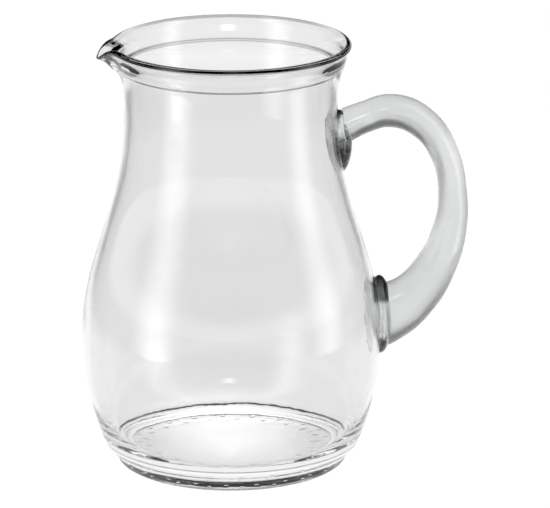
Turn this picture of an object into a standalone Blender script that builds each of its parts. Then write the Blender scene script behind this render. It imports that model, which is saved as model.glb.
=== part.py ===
"""Large water jug: a blown glass body with a pinched pouring lip and a solid glass handle.

The handle is drawn from a separate gob and fused to the body at two seals, an upper one on the neck and a
lower one on the belly. Lengths are in metres, +Z is up, and the jug stands on z = 0. The lip points along -X
and the handle along +X. The body is turned about its own axis, and an empty then moves the whole jug so that
the origin lies under the middle of its outline.
"""

import math

import bmesh
import bpy
from mathutils import Vector

MM = 0.001

# Overall
HEIGHT = 200 * MM
SEAL_GAP = 0.3 * MM
GLASS_IOR = 1.52

# Body wall, outside
BELLY_RADIUS = 69.8 * MM
BELLY_HEIGHT = 62 * MM
NECK_RADIUS = 49.4 * MM
NECK_BELOW_TOP = 31 * MM
WALL = 3.2 * MM
HEEL_SLOPE = math.radians(66.4)

# Collar and rim
RING_RADIUS = 51.5 * MM
RING_BELOW_TOP = 12 * MM
RING_STEP = 1.2 * MM
RING_BEVEL = 1.3 * MM
RING_SLOPE = math.radians(77)
COLLAR_SLOPE = math.radians(70)
RIM_RADIUS = 54 * MM
RIM_EDGE = 1.6 * MM
RIM_TUCK = math.radians(50)
MOUTH_SLOPE = math.radians(60)

# How far each curve of the section runs straight on from its end, as a share of the curve's height
NECK_FLARE_PULL = 0.37
RING_PULL = 0.22
NECK_PULL = 0.45
SHOULDER_PULL = 0.335
BELLY_PULL = 0.42
HEEL_PULL = 0.26
INSIDE_BELLY_PULL = 0.72
MOUTH_PULL = 0.345
TUCK_PULL = 0.28
COLLAR_PULL = 0.35
FLOOR_CORNER_PULL = 0.6

# Pouring lip, pinched out of the collar
LIP_REACH = 6.9 * MM
LIP_DROP = 6 * MM
LIP_ROOT_BELOW_TOP = 15.5 * MM
LIP_SPREAD = math.radians(9.8)
LIP_GROOVE = math.radians(6.4)
LIP_SHARPNESS = 2.2

# Base
HEEL_RADIUS = 59.6 * MM
HEEL_HEIGHT = 8.2 * MM
HEEL_EDGE = 3.6 * MM
FOOT_RADIUS = 54.2 * MM
FOOT_HEIGHT = 4.8 * MM
FOOT_EDGE = 1.6 * MM
FOOT_FILLET = 0.6 * MM
BEARING_WIDTH = 3 * MM
RING_RECESS = 0.8 * MM
PUNT_RADIUS = 38 * MM
PUNT_RISE = 1 * MM
FLOOR_HEIGHT = 6.5 * MM
FLOOR_RADIUS = 44 * MM

# Handle and its two seals
UPPER_SEAL_BELOW_TOP = 43.5 * MM
LOWER_SEAL_HEIGHT = 64 * MM
HANDLE_STANDOFF = 34.5 * MM
ROD_RADIUS = 7.5 * MM
ROD_WIDENING = 1.1
FOOT_SQUEEZE = 0.72
SEAL_THICKNESS = 2.4 * MM
UPPER_SEAL = Vector((6.5, 12.0, 15.2)) * MM
UPPER_SEAL_SAG = 5.5 * MM
LOWER_SEAL = Vector((6.0, 14.0, 18.8)) * MM
LOWER_SEAL_SAG = -2.6 * MM

# The rod's centre line, drawn by eye. Each place is a share of the way out from the wall at that arm's seal
# to HANDLE_STANDOFF past the belly, a share of the way up from the lower seal to the upper one, and the rod's
# thickness against ROD_RADIUS. The arms start and end inside the wall.
UPPER_ARM = (
    (-0.037, 1.0, 1.1),
    (0.23, 1.065, 0.98),
    (0.45, 1.094, 1.03),
    (0.715, 1.032, 1.0),
    (0.908, 0.876, 0.89),
    (0.993, 0.638, 0.91),
)
LOWER_ARM = (
    (0.948, 0.459, 1.07),
    (0.754, 0.266, 1.3),
    (0.435, 0.11, 1.6),
    (0.087, 0.034, 1.95),
    (-0.116, 0.012, 2.05),
)

# How finely the round shapes are divided
TURN_STEPS = 72
SEAL_SEGMENTS = 32
ROD_STEPS = 4
ROD_ROUNDNESS = 5
MERGE_DISTANCE = 0.01 * MM
SHARP_ANGLE = math.radians(40)

ring_height = HEIGHT - RING_BELOW_TOP
neck_height = HEIGHT - NECK_BELOW_TOP
upper_seal_height = HEIGHT - UPPER_SEAL_BELOW_TOP
rim_height = HEIGHT - RIM_EDGE
rim_inside = MOUTH_SLOPE + math.pi / 2


def clear_scene():
    for old in list(bpy.data.objects):
        bpy.data.objects.remove(old, do_unlink=True)


def new_collection(name):
    collection = bpy.data.collections.new(name)
    bpy.context.scene.collection.children.link(collection)
    return collection


def glass(name, colour, roughness):
    material = bpy.data.materials.new(name)
    material.use_nodes = True
    shader = material.node_tree.nodes["Principled BSDF"]
    shader.inputs["Base Color"].default_value = (*colour, 1)
    shader.inputs["Roughness"].default_value = roughness
    shader.inputs["Metallic"].default_value = 0
    shader.inputs["Transmission Weight"].default_value = 1
    shader.inputs["IOR"].default_value = GLASS_IOR
    return material


def curve_points(start, start_pull, end_pull, end, count):
    """Points of a cubic curve from start to end, both included."""
    points = []
    for i in range(count + 1):
        t = i / count
        u = 1 - t
        points.append(
            start * u**3 + start_pull * (3 * u * u * t) + end_pull * (3 * u * t * t) + end * t**3
        )
    return points


def slope(angle):
    """The direction at an angle above the horizontal, pointing outwards and up."""
    return Vector((math.cos(angle), math.sin(angle)))


def arc_points(centre, radius, start, end, count):
    """Points of an arc between two angles, both included."""
    return [centre + radius * slope(start + (end - start) * i / count) for i in range(count + 1)]


def above(point, distance):
    """The point that far straight above another."""
    return point + Vector((0, distance))


def wall_line():
    """The outer wall as (radius, height), from the collar's ring down to the heel."""
    ring = Vector((RING_RADIUS, ring_height))
    neck = Vector((NECK_RADIUS, neck_height))
    belly = Vector((BELLY_RADIUS, BELLY_HEIGHT))
    heel = Vector((HEEL_RADIUS, HEEL_HEIGHT))
    flare = ring.y - neck.y
    shoulder = neck.y - belly.y
    under = belly.y - heel.y
    ring_pull = ring - slope(RING_SLOPE) * RING_PULL * flare
    heel_pull = heel + slope(HEEL_SLOPE) * HEEL_PULL * under
    points = curve_points(ring, ring_pull, above(neck, NECK_FLARE_PULL * flare), neck, count=3)
    points += curve_points(
        neck, above(neck, -NECK_PULL * shoulder), above(belly, SHOULDER_PULL * shoulder), belly, count=8
    )[1:]
    points += curve_points(belly, above(belly, -BELLY_PULL * under), heel_pull, heel, count=5)[1:]
    return points


def wall_radius(height):
    """Outer radius of the wall at a height between the heel and the ring."""
    line = wall_line()
    for upper, lower in zip(line, line[1:]):
        if lower.y <= height <= upper.y:
            share = (height - lower.y) / (upper.y - lower.y)
            return lower.x + share * (upper.x - lower.x)
    raise ValueError("height is off the wall")


def grown(line, distance):
    """A copy of a line that runs down the outside of the wall, moved outwards along its normals."""
    moved = []
    for i, point in enumerate(line):
        run = line[min(i + 1, len(line) - 1)] - line[max(i - 1, 0)]
        moved.append(point + Vector((-run.y, run.x)).normalized() * distance)
    return moved


def inner_line():
    """The inside, from the middle of the floor up to the rim."""
    floor = Vector((FLOOR_RADIUS, FLOOR_HEIGHT))
    belly = Vector((BELLY_RADIUS - WALL, BELLY_HEIGHT))
    neck = Vector((NECK_RADIUS - WALL, neck_height))
    rim = Vector((RIM_RADIUS, rim_height)) + slope(rim_inside) * RIM_EDGE
    rise = belly.y - floor.y
    shoulder = neck.y - belly.y
    mouth = rim.y - neck.y
    corner_pull = floor + Vector((FLOOR_CORNER_PULL * (belly.x - floor.x), 0))
    rim_pull = rim - slope(MOUTH_SLOPE) * MOUTH_PULL * mouth
    points = [Vector((0, FLOOR_HEIGHT))]
    points += curve_points(floor, corner_pull, above(belly, -INSIDE_BELLY_PULL * rise), belly, count=5)
    points += curve_points(
        belly, above(belly, SHOULDER_PULL * shoulder), above(neck, -NECK_PULL * shoulder), neck, count=7
    )[1:]
    points += curve_points(neck, above(neck, NECK_FLARE_PULL * mouth), rim_pull, rim, count=4)[1:-1]
    return points


def collar_line():
    """The rounded rim, from its inner side over the top, and the collar down to the ring's edge."""
    rim = arc_points(Vector((RIM_RADIUS, rim_height)), RIM_EDGE, rim_inside, -RIM_TUCK, count=10)
    ring_edge = Vector((RING_RADIUS + RING_STEP, ring_height + RING_BEVEL))
    collar = rim[-1].y - ring_edge.y
    tuck_pull = rim[-1] + slope(-RIM_TUCK - math.pi / 2) * TUCK_PULL * collar
    edge_pull = ring_edge + slope(COLLAR_SLOPE) * COLLAR_PULL * collar
    return rim + curve_points(rim[-1], tuck_pull, edge_pull, ring_edge, count=3)[1:]


def base_line():
    """The underside, from the heel's corner to the middle of the punt."""
    heel_normal = HEEL_SLOPE - math.pi / 2
    heel_centre = Vector((HEEL_RADIUS, HEEL_HEIGHT)) - slope(heel_normal) * HEEL_EDGE
    foot_top = Vector((FOOT_RADIUS, FOOT_HEIGHT))
    foot_corner = Vector((FOOT_RADIUS - FOOT_EDGE, FOOT_EDGE))
    bearing_inner = FOOT_RADIUS - FOOT_EDGE - BEARING_WIDTH
    punt_curve = (PUNT_RADIUS**2 + PUNT_RISE**2) / (2 * PUNT_RISE)
    punt_edge = math.acos(PUNT_RADIUS / punt_curve)
    punt_centre = Vector((0, RING_RECESS + PUNT_RISE - punt_curve))
    points = arc_points(heel_centre, HEEL_EDGE, heel_normal, -math.pi / 2, count=3)[1:]
    points += [foot_top + Vector((FOOT_FILLET, FOOT_FILLET)), foot_top]
    points += arc_points(foot_corner, FOOT_EDGE, 0, -math.pi / 2, count=2)
    points += [Vector((bearing_inner, 0)), Vector((bearing_inner - RING_RECESS, RING_RECESS))]
    points += arc_points(punt_centre, punt_curve, punt_edge, math.pi / 2, count=4)
    return points


def body_outline():
    """The whole closed section, from the middle of the floor, over the rim and down to the punt."""
    return inner_line() + collar_line() + wall_line() + base_line()


def turned(name, outline, collection):
    """An object turned from an outline of (radius, height) points round the body's axis."""
    mesh = bpy.data.meshes.new(name)
    corners = [(point.x, 0, point.y) for point in outline]
    edges = [(i, i + 1) for i in range(len(outline) - 1)]
    mesh.from_pydata(corners, edges, [])
    piece = bpy.data.objects.new(name, mesh)
    collection.objects.link(piece)
    screw = piece.modifiers.new("turn", "SCREW")
    screw.steps = TURN_STEPS
    screw.render_steps = TURN_STEPS
    screw.use_merge_vertices = True
    screw.merge_threshold = MERGE_DISTANCE
    screw.use_smooth_shade = True
    return piece


def solidified(piece):
    """The object's evaluated shape as a plain mesh object, which takes its place."""
    name = piece.name
    collection = piece.users_collection[0]
    bpy.context.view_layer.update()
    graph = bpy.context.evaluated_depsgraph_get()
    mesh = bpy.data.meshes.new_from_object(piece.evaluated_get(graph))
    place = piece.matrix_world.copy()
    bpy.data.objects.remove(piece)
    shape = bmesh.new()
    shape.from_mesh(mesh)
    bmesh.ops.remove_doubles(shape, verts=shape.verts, dist=MERGE_DISTANCE)
    shape.to_mesh(mesh)
    shape.free()
    mesh.shade_smooth()
    mesh.set_sharp_from_angle(angle=SHARP_ANGLE)
    whole = bpy.data.objects.new(name, mesh)
    whole.matrix_world = place
    collection.objects.link(whole)
    return whole


def pinch_lip(body):
    """Pulls the collar out and down into a pouring lip on the -X side."""
    root = HEIGHT - LIP_ROOT_BELOW_TOP
    for vertex in body.data.vertices:
        rise = (vertex.co.z - root) / (HEIGHT - root)
        if rise <= 0:
            continue
        side = abs(math.atan2(vertex.co.y, -vertex.co.x))
        pull = LIP_REACH * rise * math.exp(-((side / LIP_SPREAD) ** LIP_SHARPNESS))
        drop = LIP_DROP * rise**2 * math.exp(-((side / LIP_GROOVE) ** LIP_SHARPNESS))
        outward = Vector((vertex.co.x, vertex.co.y, 0)).normalized()
        vertex.co += outward * pull - Vector((0, 0, drop))


def handle_path():
    """The rod's centre line from the upper seal to the lower one, as (distance from axis, height, radius)."""
    reach = BELLY_RADIUS + HANDLE_STANDOFF
    rise = upper_seal_height - LOWER_SEAL_HEIGHT
    path = []
    for arm, wall in (
        (UPPER_ARM, wall_radius(upper_seal_height)),
        (LOWER_ARM, wall_radius(LOWER_SEAL_HEIGHT)),
    ):
        for out, up, thickness in arm:
            place = (wall + out * (reach - wall), LOWER_SEAL_HEIGHT + up * rise)
            path.append((*place, ROD_RADIUS * thickness))
    return path


def rod_width(height):
    """The rod's width as a share of its thickness, over 1 at the top and under 1 at the lower seal."""
    share = min(max((height - LOWER_SEAL_HEIGHT) / HANDLE_STANDOFF, 0), 1)
    ease = share * share * (3 - 2 * share)
    return FOOT_SQUEEZE + (ROD_WIDENING - FOOT_SQUEEZE) * ease


def rod(name, extra, collection):
    """The handle's rod, thicker by extra all round, running a little way into the wall at both ends."""
    curve = bpy.data.curves.new(name, "CURVE")
    curve.dimensions = "3D"
    curve.bevel_depth = ROD_RADIUS
    curve.bevel_resolution = ROD_ROUNDNESS
    curve.resolution_u = ROD_STEPS
    curve.use_fill_caps = True
    curve.twist_mode = "MINIMUM"
    spline = curve.splines.new("BEZIER")
    spline.radius_interpolation = "CARDINAL"
    path = handle_path()
    spline.bezier_points.add(len(path) - 1)
    for point, (out, height, radius) in zip(spline.bezier_points, path):
        point.co = (out, 0, height)
        point.radius = (radius + extra) / ROD_RADIUS
        point.handle_left_type = "AUTO"
        point.handle_right_type = "AUTO"
    piece = bpy.data.objects.new(name, curve)
    collection.objects.link(piece)
    piece = solidified(piece)
    for vertex in piece.data.vertices:
        vertex.co.y *= rod_width(vertex.co.z)
    return piece


def wall_cutter(name, distance):
    """The body's outer shape grown by a distance, solid down its middle."""
    line = grown(wall_line(), distance)
    outline = [Vector((0, line[0].y))] + line + [Vector((0, line[-1].y))]
    return as_cutter(turned(name, outline, cutters))


def as_cutter(piece):
    piece.hide_render = True
    piece.display_type = "WIRE"
    return piece


def cut(piece, cutter):
    modifier = piece.modifiers.new("clear_of_" + cutter.name, "BOOLEAN")
    modifier.operation = "DIFFERENCE"
    modifier.solver = "EXACT"
    modifier.object = cutter


def seal(name, height, half_size, sag):
    """A flattened gob of glass between the wall and the end of the rod."""
    place = (wall_radius(height), 0, height - sag)
    bpy.ops.mesh.primitive_uv_sphere_add(
        segments=SEAL_SEGMENTS, ring_count=SEAL_SEGMENTS // 2, radius=1, location=place
    )
    piece = bpy.context.object
    piece.name = name
    piece.scale = half_size
    bpy.ops.object.transform_apply(location=False, rotation=False, scale=True)
    for holder in list(piece.users_collection):
        holder.objects.unlink(piece)
    jug.objects.link(piece)
    piece.data.shade_smooth()
    cut(piece, wall_clearance)
    cut(piece, rod_clearance)
    return piece


clear_scene()
jug = new_collection("large_water_jug")
cutters = new_collection("cutters")
body_glass = glass("clear_glass", (0.93, 0.96, 0.95), 0.03)
handle_glass = glass("handle_glass", (0.9, 0.94, 0.93), 0.05)
seal_glass = glass("seal_glass", (0.88, 0.92, 0.91), 0.06)

# A seal is cut clear of the wall and of the rod, whose ends stop short of the wall by the seal's thickness.
wall_clearance = wall_cutter("wall_clearance", SEAL_GAP)
rod_end_cutter = wall_cutter("rod_end_cutter", SEAL_THICKNESS + SEAL_GAP)
rod_clearance = as_cutter(rod("rod_clearance", SEAL_GAP, cutters))
cut(rod_clearance, wall_cutter("seal_floor", SEAL_THICKNESS))

glass_body = solidified(turned("glass_body", body_outline(), jug))
pinch_lip(glass_body)

handle = rod("handle", 0, jug)
cut(handle, rod_end_cutter)

upper_handle_seal = seal("upper_handle_seal", upper_seal_height, UPPER_SEAL, UPPER_SEAL_SAG)
lower_handle_seal = seal("lower_handle_seal", LOWER_SEAL_HEIGHT, LOWER_SEAL, LOWER_SEAL_SAG)

for piece, material in (
    (glass_body, body_glass),
    (handle, handle_glass),
    (upper_handle_seal, seal_glass),
    (lower_handle_seal, seal_glass),
):
    piece.data.materials.clear()
    piece.data.materials.append(material)

jug_centre = bpy.data.objects.new("jug_centre", None)
jug.objects.link(jug_centre)
body_side = min(vertex.co.x for vertex in glass_body.data.vertices)
handle_end = max(vertex.co.x for vertex in handle.data.vertices)
jug_centre.location.x = -(body_side + handle_end) / 2
for piece in list(jug.objects) + list(cutters.objects):
    if piece is not jug_centre:
        piece.parent = jug_centre
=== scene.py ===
"""A large glass water jug in a pale studio: the blown body with its pouring lip, the handle and its two seals."""

import math

import bpy
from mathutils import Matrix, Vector


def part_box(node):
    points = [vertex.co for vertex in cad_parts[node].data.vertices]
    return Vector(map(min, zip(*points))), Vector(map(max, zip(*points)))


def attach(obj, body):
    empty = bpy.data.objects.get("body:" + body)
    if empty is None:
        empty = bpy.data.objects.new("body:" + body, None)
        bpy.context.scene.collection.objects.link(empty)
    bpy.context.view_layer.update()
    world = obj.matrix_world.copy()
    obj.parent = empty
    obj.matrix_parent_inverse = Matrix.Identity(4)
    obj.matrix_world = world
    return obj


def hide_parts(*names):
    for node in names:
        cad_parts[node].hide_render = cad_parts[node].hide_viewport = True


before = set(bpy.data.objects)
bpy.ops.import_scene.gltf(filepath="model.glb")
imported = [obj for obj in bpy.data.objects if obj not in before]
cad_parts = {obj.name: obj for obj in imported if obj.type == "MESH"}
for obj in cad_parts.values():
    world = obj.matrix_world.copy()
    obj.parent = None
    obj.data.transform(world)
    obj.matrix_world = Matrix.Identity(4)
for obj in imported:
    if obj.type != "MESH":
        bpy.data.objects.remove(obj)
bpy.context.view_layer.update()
MM = 0.001


# Glass body
#
# One gob of clear soda-lime glass, blown in a turned mould, so it is round about its own axis. The collar is
# left thick above a ring where the mould opens, and the rim is melted round in a flame.

body_low, body_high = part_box("glass_body")
BELLY = body_high.y
AXIS = body_high.x - BELLY
HEIGHT = body_high.z
BELLY_HEIGHT = 62 * MM
NECK = 49.4 * MM
NECK_HEIGHT = HEIGHT - 31 * MM
WALL = 3.2 * MM
RING = 51.5 * MM
RING_HEIGHT = HEIGHT - 12 * MM
RING_STEP = 1.2 * MM
RING_BEVEL = 1.3 * MM
RIM = 54 * MM
RIM_EDGE = 1.6 * MM
RIM_INSIDE = 150
RIM_OUTSIDE = -50
HEEL = 59.6 * MM
HEEL_HEIGHT = 8.2 * MM
HEEL_EDGE = 3.6 * MM
FOOT = 54.2 * MM
FOOT_HEIGHT = 4.8 * MM
FOOT_EDGE = 1.6 * MM
BEARING = 3 * MM
RECESS = 0.6 * MM
FLOOR = 44 * MM
FLOOR_HEIGHT = 6.5 * MM
TURN_STEPS = 240


def slope(angle):
    return Vector((math.cos(angle), math.sin(angle)))


def arc(centre, radius, start, end, count):
    """Points of an arc between two angles in degrees, both included."""
    step = (end - start) / count
    return [centre + radius * slope(math.radians(start + step * i)) for i in range(count + 1)]


def bend(start, start_pull, end_pull, end, count):
    """Points of a smooth bend that leaves its ends towards their pulls, without its first point."""
    points = []
    for i in range(1, count + 1):
        t = i / count
        u = 1 - t
        points.append(start * u**3 + start_pull * (3 * u * u * t) + end_pull * (3 * u * t * t) + end * t**3)
    return points


def above(point, distance):
    return point + Vector((0, distance))


def outer_wall():
    """The outside as (radius, height), from the ring down to the heel."""
    ring = Vector((RING, RING_HEIGHT))
    neck = Vector((NECK, NECK_HEIGHT))
    belly = Vector((BELLY, BELLY_HEIGHT))
    heel = Vector((HEEL, HEEL_HEIGHT))
    flare = ring.y - neck.y
    shoulder = neck.y - belly.y
    under = belly.y - heel.y
    ring_pull = ring - slope(math.radians(77)) * 0.22 * flare
    heel_pull = heel + slope(math.radians(66.4)) * 0.26 * under
    line = [ring]
    line += bend(ring, ring_pull, above(neck, 0.37 * flare), neck, 8)
    line += bend(neck, above(neck, -0.45 * shoulder), above(belly, 0.335 * shoulder), belly, 34)
    line += bend(belly, above(belly, -0.42 * under), heel_pull, heel, 20)
    return line


def inner_wall():
    """The inside, from the middle of the floor up to the rim."""
    floor = Vector((FLOOR, FLOOR_HEIGHT))
    belly = Vector((BELLY - WALL, BELLY_HEIGHT))
    neck = Vector((NECK - WALL, NECK_HEIGHT))
    rim = Vector((RIM, HEIGHT - RIM_EDGE)) + slope(math.radians(RIM_INSIDE)) * RIM_EDGE
    rise = belly.y - floor.y
    shoulder = neck.y - belly.y
    mouth = rim.y - neck.y
    corner_pull = floor + Vector((0.6 * (belly.x - floor.x), 0))
    rim_pull = rim - slope(math.radians(RIM_INSIDE - 90)) * 0.345 * mouth
    line = [Vector((FLOOR * share, FLOOR_HEIGHT)) for share in (0, 0.25, 0.5, 0.75, 1)]
    line += bend(floor, corner_pull, above(belly, -0.72 * rise), belly, 24)
    line += bend(belly, above(belly, 0.335 * shoulder), above(neck, -0.45 * shoulder), neck, 34)
    line += bend(neck, above(neck, 0.37 * mouth), rim_pull, rim, 12)[:-1]
    return line


def collar():
    """The round rim, over its top, and the collar down to the edge of the ring."""
    rim = arc(Vector((RIM, HEIGHT - RIM_EDGE)), RIM_EDGE, RIM_INSIDE, RIM_OUTSIDE, 20)
    edge = Vector((RING + RING_STEP, RING_HEIGHT + RING_BEVEL))
    length = rim[-1].y - edge.y
    tuck = rim[-1] + slope(math.radians(-140)) * 0.28 * length
    swell = edge + slope(math.radians(70)) * 0.35 * length
    return rim + bend(rim[-1], tuck, swell, edge, 8)


def base():
    """The underside, round the heel and the foot to the middle of its shallow recess."""
    heel_centre = Vector((HEEL, HEEL_HEIGHT)) - slope(math.radians(-23.6)) * HEEL_EDGE
    foot_top = Vector((FOOT, FOOT_HEIGHT))
    bearing = FOOT - FOOT_EDGE - BEARING
    line = arc(heel_centre, HEEL_EDGE, -23.6, -90, 8)[1:]
    line += [foot_top + Vector((0.6, 0.6)) * MM, foot_top + Vector((0.15, 0.2)) * MM, foot_top - Vector((0, 0.3 * MM))]
    line += arc(Vector((FOOT - FOOT_EDGE, FOOT_EDGE)), FOOT_EDGE, 0, -90, 6)
    line += [Vector((bearing, 0)), Vector((bearing - 0.2 * MM, 0.1 * MM)), Vector((bearing - RECESS, RECESS))]
    line += [Vector(((bearing - RECESS) * share, RECESS)) for share in (0.75, 0.5, 0.25, 0)]
    return line


def activate(piece):
    """Makes the piece the only one selected, and the active one."""
    bpy.ops.object.select_all(action="DESELECT")
    piece.select_set(True)
    bpy.context.view_layer.objects.active = piece


def turned(name, outline, steps):
    """A piece spun from a closed outline of (radius, height) points round the body's axis."""
    bpy.ops.object.select_all(action="DESELECT")
    bpy.ops.mesh.primitive_circle_add(vertices=len(outline), radius=BELLY)
    piece = bpy.context.object
    piece.name = name
    for vertex, point in zip(piece.data.vertices, outline):
        vertex.co = (AXIS + point.x, 0, point.y)
    bpy.ops.object.mode_set(mode="EDIT")
    bpy.ops.mesh.select_all(action="SELECT")
    bpy.ops.mesh.spin(steps=steps, angle=math.tau, center=(AXIS, 0, 0), axis=(0, 0, 1), use_auto_merge=True)
    bpy.ops.mesh.select_all(action="SELECT")
    bpy.ops.mesh.remove_doubles(threshold=0.004 * MM)
    bpy.ops.mesh.select_all(action="DESELECT")
    bpy.ops.mesh.select_mode(type="EDGE")
    bpy.ops.mesh.select_non_manifold()
    bpy.ops.mesh.delete(type="EDGE")
    bpy.ops.mesh.select_all(action="SELECT")
    bpy.ops.mesh.normals_make_consistent(inside=False)
    bpy.ops.object.mode_set(mode="OBJECT")
    return piece


glass_body = turned("blown_body", inner_wall() + collar() + outer_wall() + base(), TURN_STEPS)

# The lip is pulled out of the hot collar with one finger of a tool, and sinks as it is pulled.
LIP_REACH = 6.9 * MM
LIP_DROP = 6 * MM
LIP_ROOT = HEIGHT - 15.5 * MM
LIP_SPREAD = math.radians(9.8)
LIP_GROOVE = math.radians(6.4)
LIP_SHARPNESS = 2.2

for vertex in glass_body.data.vertices:
    rise = (vertex.co.z - LIP_ROOT) / (HEIGHT - LIP_ROOT)
    if rise <= 0:
        continue
    outward = Vector((vertex.co.x - AXIS, vertex.co.y, 0))
    side = abs(math.atan2(outward.y, -outward.x))
    pull = LIP_REACH * rise * math.exp(-((side / LIP_SPREAD) ** LIP_SHARPNESS))
    drop = LIP_DROP * rise**2 * math.exp(-((side / LIP_GROOVE) ** LIP_SHARPNESS))
    vertex.co += outward.normalized() * pull - Vector((0, 0, drop))

# Two staggered rows of small domes sit on the polished glass of the recess under the base, just short of the table.
DOTS = 20
DOT_RADIUS = 1.3 * MM
DOT_HEIGHT = 0.55 * MM
DOT_ROWS = (46 * MM, 41.5 * MM)


def finish_with(piece, kind, **settings):
    """Adds a modifier and applies it."""
    activate(piece)
    modifier = piece.modifiers.new(kind, kind)
    for name, value in settings.items():
        setattr(modifier, name, value)
    bpy.ops.object.modifier_apply(modifier=modifier.name)


def joined(pieces):
    activate(pieces[0])
    for piece in pieces:
        piece.select_set(True)
    bpy.ops.object.join()
    return pieces[0]


dots = []
for row, radius in enumerate(DOT_ROWS):
    for i in range(DOTS):
        angle = math.tau * (i + row / 2) / DOTS
        place = (AXIS + radius * math.cos(angle), radius * math.sin(angle), RECESS)
        bpy.ops.mesh.primitive_ico_sphere_add(subdivisions=3, radius=DOT_RADIUS, location=place)
        dots.append(bpy.context.object)
        bpy.ops.transform.resize(value=(1, 1, DOT_HEIGHT / DOT_RADIUS))
        bpy.ops.object.transform_apply(location=True, rotation=False, scale=True)
dots = joined(dots)
finish_with(glass_body, "BOOLEAN", object=dots, operation="UNION", solver="EXACT")
bpy.data.objects.remove(dots)
activate(glass_body)
SHARP = math.radians(26)
bpy.ops.object.shade_smooth_by_angle(angle=SHARP)


class Signal:
    """An output of a shader node. Python's operators on it add Math nodes."""

    def __init__(self, tree, socket=None):
        self.tree = tree
        self.socket = socket

    def node(self, kind, output=0, settings=None, **values):
        """Adds a node, sets it up, fills its sockets by name with numbers or signals, and gives an output."""
        made = self.tree.nodes.new("ShaderNode" + kind)
        for name, value in (settings or {}).items():
            setattr(made, name, value)
        for name, value in values.items():
            place = made.inputs[int(name[1:]) if name[0] == "_" else name.replace("_", " ")]
            if isinstance(value, Signal):
                self.tree.links.new(value.socket, place)
            else:
                place.default_value = value
        return Signal(self.tree, made.outputs[output])

    def maths(self, operation, first, second):
        return self.node("Math", settings={"operation": operation}, _0=first, _1=second)

    def __add__(self, other):
        return self.maths("ADD", self, other)

    def __mul__(self, other):
        return self.maths("MULTIPLY", self, other)

    def __sub__(self, other):
        return self.maths("SUBTRACT", self, other)

    def __rsub__(self, other):
        return self.maths("SUBTRACT", other, self)

    __radd__ = __add__
    __rmul__ = __mul__


GLASS_TINT = (0.7, 0.73, 0.72)
GLASS_IOR = 1.52
BODY_SKIN = 0.89
# Painted shade: how much darker the skin is painted along the rim's bead and along the ring's edge.
PAINTED_BEAD_SHADE = 0.6
PAINTED_RING_SHADE = 0.55


def fade(signal, start, end):
    """1 up to the start and 0 from the end on, with a soft change between them."""
    smooth = {"interpolation_type": "SMOOTHSTEP"}
    return signal.node("MapRange", 0, smooth, _0=signal, _1=start, _2=end, _3=1.0, _4=0.0)


def clear_glass(name, skin, density, ripple, ripple_size, haze, gloss, clearness):
    """Clear glass with slow ripples from the mould or the tools, fine cords, and a little haze."""
    material = bpy.data.materials.new(name)
    material.use_nodes = True
    shader = material.node_tree.nodes["Principled BSDF"]
    shader.inputs["Base Color"].default_value = (skin, skin, skin, 1)
    shader.inputs["Transmission Weight"].default_value = clearness
    shader.inputs["IOR"].default_value = GLASS_IOR
    shader.inputs["Coat Weight"].default_value = gloss
    start = Signal(material.node_tree)
    place = start.node("TexCoord", "Object")
    slow = start.node("TexNoise", Vector=place, Scale=1 / ripple_size, Detail=1.0)
    fine = start.node("TexNoise", Vector=place, Scale=4 / ripple_size, Detail=2.0)
    bump = start.node("Bump", Height=slow + fine * 0.2, Strength=1.0, Distance=ripple)
    film = start.node("TexNoise", Vector=place, Scale=45.0, Detail=3.0)
    links = material.node_tree.links
    links.new((film * haze).socket, shader.inputs["Roughness"])
    links.new(bump.socket, shader.inputs["Normal"])
    absorption = material.node_tree.nodes.new("ShaderNodeVolumeAbsorption")
    absorption.inputs["Color"].default_value = (*GLASS_TINT, 1)
    absorption.inputs["Density"].default_value = density
    links.new(absorption.outputs[0], material.node_tree.nodes["Material Output"].inputs["Volume"])
    return material


body_glass = clear_glass("blown_glass", BODY_SKIN, 10, 0.15 * MM, 30 * MM, 0.02, 0, 1)

# Painted shade: the skin is painted darker along the rim's bead and along the ring's edge, so both show as dark lines.
start = Signal(body_glass.node_tree)
place = start.node("TexCoord", "Object")
height = start.node("SeparateXYZ", "Z", Vector=place)
across = start.node("SeparateXYZ", "X", Vector=place) - AXIS
flat = start.node("CombineXYZ", X=across, Y=start.node("SeparateXYZ", "Y", Vector=place), Z=0.0)
radius = flat.node("VectorMath", "Value", {"operation": "LENGTH"}, _0=flat)
outside = fade(radius * -1, -RIM - 0.3 * MM, 0.2 * MM - RIM)
painted_bead_shade = fade(HEIGHT - height, 2.0 * MM, 2.6 * MM) * outside
off_ring = height - (RING_HEIGHT + RING_BEVEL / 2)
ring = fade(off_ring.maths("ABSOLUTE", off_ring, 0), 0.1 * MM, 0.5 * MM)
skin_with_painted_shade = BODY_SKIN - painted_bead_shade * PAINTED_BEAD_SHADE - ring * PAINTED_RING_SHADE
body_glass.node_tree.links.new(
    skin_with_painted_shade.socket, body_glass.node_tree.nodes["Principled BSDF"].inputs["Base Color"]
)
glass_body.data.materials.clear()
glass_body.data.materials.append(body_glass)
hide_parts("glass_body")
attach(glass_body, "root")


# Handle
#
# A rod of glass drawn from its own gob, stuck to the neck, bent over and pressed on to the belly while soft,
# so it is thinnest where it was stretched and thick and flat at its foot.

UPPER_SEAL_HEIGHT = HEIGHT - 43.5 * MM
LOWER_SEAL_HEIGHT = 64 * MM
STANDOFF = 34.5 * MM
ROD = 7.5 * MM
ROD_WIDENING = 1.1
FOOT_SQUEEZE = 0.72
SEAL_THICKNESS = 2.4 * MM
SEAL_GAP = 0.1 * MM
UPPER_ARM = (
    (-0.037, 1.0, 1.1),
    (0.23, 1.065, 0.98),
    (0.45, 1.094, 1.03),
    (0.715, 1.032, 1.0),
    (0.908, 0.876, 0.89),
    (0.993, 0.638, 0.91),
)
LOWER_ARM = (
    (0.948, 0.459, 1.07),
    (0.754, 0.266, 1.3),
    (0.435, 0.11, 1.6),
    (0.087, 0.034, 1.95),
    (-0.116, 0.012, 2.05),
)


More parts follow.
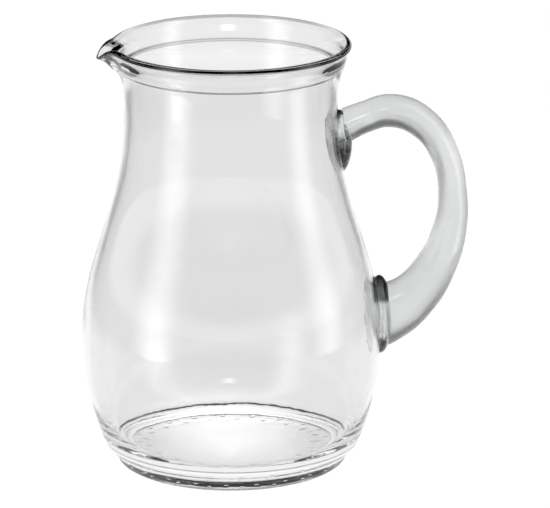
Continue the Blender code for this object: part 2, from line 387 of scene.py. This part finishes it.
def wall_radius(height):
    """Outside radius of the wall at a height."""
    line = outer_wall()
    for upper, lower in zip(line, line[1:]):
        if lower.y <= height <= upper.y:
            return lower.x + (upper.x - lower.x) * (height - lower.y) / (upper.y - lower.y)
    raise ValueError("off the wall")


def rod_width(height):
    share = min(max((height - LOWER_SEAL_HEIGHT) / STANDOFF, 0), 1)
    return FOOT_SQUEEZE + (ROD_WIDENING - FOOT_SQUEEZE) * share * share * (3 - 2 * share)


def rod(name, extra):
    """The drawn rod, thicker by extra all round, from inside the neck's wall to inside the belly's."""
    bpy.ops.object.select_all(action="DESELECT")
    bpy.ops.curve.primitive_bezier_curve_add(radius=STANDOFF)
    piece = bpy.context.object
    piece.name = name
    curve = piece.data
    curve.bevel_depth = ROD
    curve.bevel_resolution = 14
    curve.resolution_u = 14
    curve.use_fill_caps = True
    curve.twist_mode = "MINIMUM"
    spline = curve.splines[0]
    spline.radius_interpolation = "CARDINAL"
    spline.bezier_points.add(len(UPPER_ARM + LOWER_ARM) - 2)
    stations = [(wall_radius(UPPER_SEAL_HEIGHT), station) for station in UPPER_ARM]
    stations += [(wall_radius(LOWER_SEAL_HEIGHT), station) for station in LOWER_ARM]
    for point, (wall, (out, up, thickness)) in zip(spline.bezier_points, stations):
        distance = wall + out * (BELLY + STANDOFF - wall)
        height = LOWER_SEAL_HEIGHT + up * (UPPER_SEAL_HEIGHT - LOWER_SEAL_HEIGHT)
        point.co = (AXIS + distance, 0, height)
        point.radius = thickness + extra / ROD
        point.handle_left_type = "AUTO"
        point.handle_right_type = "AUTO"
    piece.location = (0, 0, 0)
    bpy.ops.object.convert(target="MESH")
    piece = bpy.context.object
    bpy.ops.object.mode_set(mode="EDIT")
    bpy.ops.mesh.select_all(action="SELECT")
    bpy.ops.mesh.remove_doubles(threshold=0.004 * MM)
    bpy.ops.mesh.normals_make_consistent(inside=False)
    bpy.ops.object.mode_set(mode="OBJECT")
    for vertex in piece.data.vertices:
        vertex.co.y *= rod_width(vertex.co.z)
    return piece


def wall_cutter(distance):
    """A solid of the body's outer shape, grown by a distance."""
    line = outer_wall()
    grown = []
    for i, point in enumerate(line):
        run = line[min(i + 1, len(line) - 1)] - line[max(i - 1, 0)]
        grown.append(point + Vector((-run.y, run.x)).normalized() * distance)
    return turned("wall_cutter", [Vector((0, grown[0].y))] + grown + [Vector((0, grown[-1].y))], TURN_STEPS)


def cut(piece, *cutters):
    for cutter in cutters:
        finish_with(piece, "BOOLEAN", object=cutter, operation="DIFFERENCE", solver="EXACT")
        bpy.data.objects.remove(cutter)


handle = rod("drawn_handle", 0)
cut(handle, wall_cutter(SEAL_THICKNESS + SEAL_GAP))
activate(handle)
bpy.ops.object.shade_smooth_by_angle(angle=SHARP)
handle_glass = clear_glass("drawn_glass", 0.96, 36, 0.3 * MM, 20 * MM, 0.7, 0.7, 0.95)
handle.data.materials.clear()
handle.data.materials.append(handle_glass)
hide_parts("handle")
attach(handle, "root")


# Handle seals
#
# Each is the gob of hot glass at an end of the rod, flattened against the wall. The upper one sags below the
# rod, and the lower one is pressed up the belly.

UPPER_SEAL = Vector((6.5, 12.0, 15.2)) * MM
UPPER_SEAL_SAG = 5.5 * MM
LOWER_SEAL = Vector((6.0, 14.0, 18.8)) * MM
LOWER_SEAL_SAG = -2.6 * MM


SEAL_SKIN = 0.93
# Painted shade: how much darker a seal's skin is painted where it looks into the finger gap.
PAINTED_GAP_SHADE = 0.9
GAP_MIDDLE = 113 * MM
GAP_HALF = 36 * MM

# Where a seal looks into the finger gap its skin is painted dark, as painted shade.
seal_glass = clear_glass("pressed_glass", SEAL_SKIN, 50, 0.5 * MM, 6 * MM, 0.05, 0, 1)
start = Signal(seal_glass.node_tree)
off_gap = start.node("SeparateXYZ", "Z", Vector=start.node("TexCoord", "Object")) - GAP_MIDDLE
painted_gap_shade = fade(off_gap.maths("ABSOLUTE", off_gap, 0), GAP_HALF, GAP_HALF + 2.5 * MM)
seal_glass.node_tree.links.new(
    (SEAL_SKIN - painted_gap_shade * PAINTED_GAP_SHADE).socket, seal_glass.node_tree.nodes["Principled BSDF"].inputs["Base Color"]
)


def seal(name, node, height, half_size, sag):
    bpy.ops.object.select_all(action="DESELECT")
    place = (AXIS + wall_radius(height), 0, height - sag)
    bpy.ops.mesh.primitive_uv_sphere_add(segments=96, ring_count=48, radius=1, location=place)
    piece = bpy.context.object
    piece.name = name
    bpy.ops.transform.resize(value=half_size)
    bpy.ops.object.transform_apply(location=True, rotation=False, scale=True)
    rod_clearance = rod("rod_clearance", SEAL_GAP)
    cut(rod_clearance, wall_cutter(SEAL_THICKNESS))
    cut(piece, wall_cutter(SEAL_GAP), rod_clearance)
    activate(piece)
    bpy.ops.object.shade_smooth_by_angle(angle=SHARP)
    piece.data.materials.clear()
    piece.data.materials.append(seal_glass)
    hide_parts(node)
    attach(piece, "root")
    return piece


seal("neck_seal", "upper_handle_seal", UPPER_SEAL_HEIGHT, UPPER_SEAL, UPPER_SEAL_SAG)
seal("belly_seal", "lower_handle_seal", LOWER_SEAL_HEIGHT, LOWER_SEAL, LOWER_SEAL_SAG)


# Studio
#
# A paper floor that glows white by itself, as painted light: white in a strip from just in front of the jug back, pale
# grey to its sides and in front, and brighter in a painted pool of light under the jug. A sky that is white low down
# all round and dark above, two tall soft boxes that stand low on either side of the jug, and a small one in front of
# it, higher up.

FLOOR_SIZE = 6
WHITE_FLOOR = 1.02
GREY_FLOOR = 0.5
FRONT_START = -120 * MM
FRONT_END = -320 * MM
SIDE_START = 215 * MM
SIDE_END = 400 * MM
STRIP_TURN = math.radians(5.5)
# A painted pool of light in the floor's glow, under the jug and a little behind its axis.
PAINTED_POOL_LIGHT = 0.8
PAINTED_POOL_BEHIND = 20 * MM
PAINTED_POOL_STRETCH = 1.5
PAINTED_POOL_START = 5 * MM
PAINTED_POOL_END = 52 * MM

bpy.ops.object.select_all(action="DESELECT")
bpy.ops.mesh.primitive_circle_add(vertices=96, radius=FLOOR_SIZE, fill_type="NGON")
floor = bpy.context.object
floor.name = "studio_floor"
paper = bpy.data.materials.new("studio_paper")
paper.use_nodes = True
paper_shader = paper.node_tree.nodes["Principled BSDF"]
paper_shader.inputs["Base Color"].default_value = (0.1, 0.1, 0.1, 1)
paper_shader.inputs["Roughness"].default_value = 1
paper_shader.inputs["Specular IOR Level"].default_value = 0
paper_shader.inputs["Emission Strength"].default_value = 1
start = Signal(paper.node_tree)
place = start.node("TexCoord", "Object")
across = start.node("SeparateXYZ", "X", Vector=place) - AXIS
depth = start.node("SeparateXYZ", "Y", Vector=place)
askew = across * math.cos(STRIP_TURN) - depth * math.sin(STRIP_TURN)
# Painted light: the glow is white in a strip from just in front of the jug back and pale grey beyond it, with a
# painted pool of light under the jug.
painted_light_strip = fade(askew.maths("ABSOLUTE", askew, 0), SIDE_START, SIDE_END) * fade(depth * -1, -FRONT_START, -FRONT_END)
behind = (depth - PAINTED_POOL_BEHIND) * (1 / PAINTED_POOL_STRETCH)
centre = start.node("CombineXYZ", X=across, Y=behind, Z=0.0)
middle = fade(centre.node("VectorMath", "Value", {"operation": "LENGTH"}, _0=centre), PAINTED_POOL_START, PAINTED_POOL_END)
glow = painted_light_strip * (WHITE_FLOOR - GREY_FLOOR) + GREY_FLOOR + middle * PAINTED_POOL_LIGHT
paper.node_tree.links.new(glow.socket, paper_shader.inputs["Emission Color"])
floor.data.materials.append(paper)

sky = bpy.data.worlds.new("studio_sky")
sky.use_nodes = True
bpy.context.scene.world = sky
sky.node_tree.nodes["Background"].inputs["Color"].default_value = (1, 1, 1, 1)
SKY_FADE_START = math.sin(math.radians(4))
SKY_FADE_END = math.sin(math.radians(11))
start = Signal(sky.node_tree)
height = start.node("SeparateXYZ", "Z", Vector=start.node("TexCoord", "Generated"))
sky.node_tree.links.new(fade(height, SKY_FADE_START, SKY_FADE_END).socket, sky.node_tree.nodes["Background"].inputs["Strength"])


def soft_box(name, azimuth, distance, middle, width, height, power, aim):
    """A lamp that faces a point on the jug's axis, brightest in its middle."""
    angle = math.radians(azimuth)
    place = Vector((AXIS + distance * math.sin(angle), -distance * math.cos(angle), middle))
    bpy.ops.object.light_add(type="AREA", location=place)
    lamp = bpy.context.object
    lamp.name = name
    lamp.visible_camera = False
    lamp.data.shape = "RECTANGLE"
    lamp.data.size = width
    lamp.data.size_y = height
    lamp.data.energy = power
    lamp.rotation_euler = (Vector((AXIS, 0, aim)) - place).to_track_quat("-Z", "Y").to_euler()
    lamp.data.use_nodes = True
    cloth = Signal(lamp.data.node_tree)
    across = cloth.node("SeparateXYZ", "X", Vector=cloth.node("NewGeometry", "Parametric"))
    away = (across - 0.5).maths("ABSOLUTE", across - 0.5, 0)
    emission = lamp.data.node_tree.nodes["Emission"]
    lamp.data.node_tree.links.new(fade(away, 0.0, 0.5).socket, emission.inputs["Strength"])


soft_box("left_box", -62, 0.32, 0.45, 0.26, 0.9, 1.6, 0.45)
soft_box("right_box", 68, 0.32, 0.45, 0.22, 0.9, 1.2, 0.45)
soft_box("window_box", -2, 0.9, 0.78, 0.4, 0.16, 1.5, HEIGHT)
bpy.context.scene.cycles.glossy_bounces = 12

CAMERA_AZIMUTH = math.radians(-5.5)
CAMERA_DISTANCE = 1930.2 * MM
CAMERA_HEIGHT = 675.2 * MM
CAMERA_PITCH = math.radians(16.646)
CAMERA_HEADING = math.radians(0.6035)
away = Vector((math.sin(CAMERA_AZIMUTH), -math.cos(CAMERA_AZIMUTH), 0)) * CAMERA_DISTANCE
bpy.ops.object.camera_add(
    location=Vector((AXIS, 0, CAMERA_HEIGHT)) + away,
    rotation=(math.pi / 2 - CAMERA_PITCH, 0, CAMERA_AZIMUTH - CAMERA_HEADING),
)
camera = bpy.context.object
camera.data.lens = 282.8
camera.data.sensor_width = 36
bpy.context.scene.camera = camera
bpy.context.scene.view_settings.view_transform = "Standard"

bpy.context.view_layer.update()
